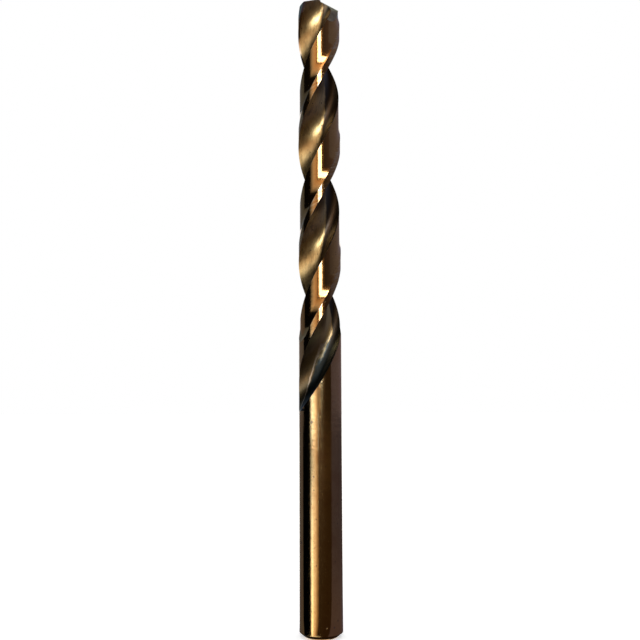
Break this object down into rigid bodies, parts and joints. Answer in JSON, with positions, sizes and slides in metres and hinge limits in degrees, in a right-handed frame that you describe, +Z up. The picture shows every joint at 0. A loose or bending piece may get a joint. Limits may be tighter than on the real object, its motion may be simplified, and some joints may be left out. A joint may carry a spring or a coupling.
{
  "type": "twist drill bit",
  "caption": "Straight-shank twist drill bit with right-hand helical flutes, relieved lands and a split point, in a bronze-gold oxide finish.",
  "frame": {"origin": "middle of the flat end of the shank", "axes": "+Z up the axis from the shank to the point, -Y the front"},
  "size_m": [0.0072, 0.0072, 0.109],
  "materials": {
    "oxide_steel": "ground high-speed steel with a glossy bronze-gold oxide"
  },
  "bodies": {
    "root": {"drill_bit": "oxide_steel"}
  },
  "joints": []
}
